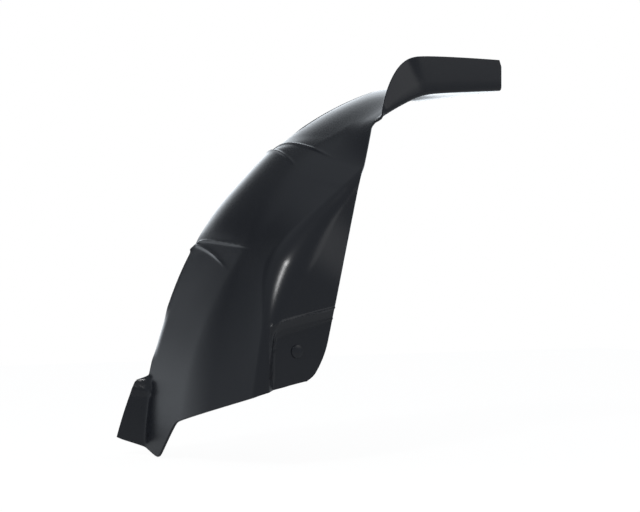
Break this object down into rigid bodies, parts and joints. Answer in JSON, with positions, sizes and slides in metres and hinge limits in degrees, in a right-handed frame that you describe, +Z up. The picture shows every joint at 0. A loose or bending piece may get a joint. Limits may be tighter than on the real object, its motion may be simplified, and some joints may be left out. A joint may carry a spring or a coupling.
{
  "type": "wheel arch liner",
  "caption": "Black moulded wheel arch liner section with a rolled lip, pressed darts, a sunk fixing panel with a boss, a flanged tongue and a foot with a fixing tab.",
  "frame": {"origin": "middle of the flat face of the fixing boss on the side wall", "axes": "+Z up, wheel axle parallel to Y, -Y out of the fixing boss towards the middle of the vehicle, +X from the foot towards the tongue"},
  "size_m": [0.3339, 0.1854, 0.3706],
  "materials": {
    "liner_plastic": "satin"
  },
  "bodies": {
    "root": {"arch_liner": "liner_plastic"}
  },
  "joints": []
}
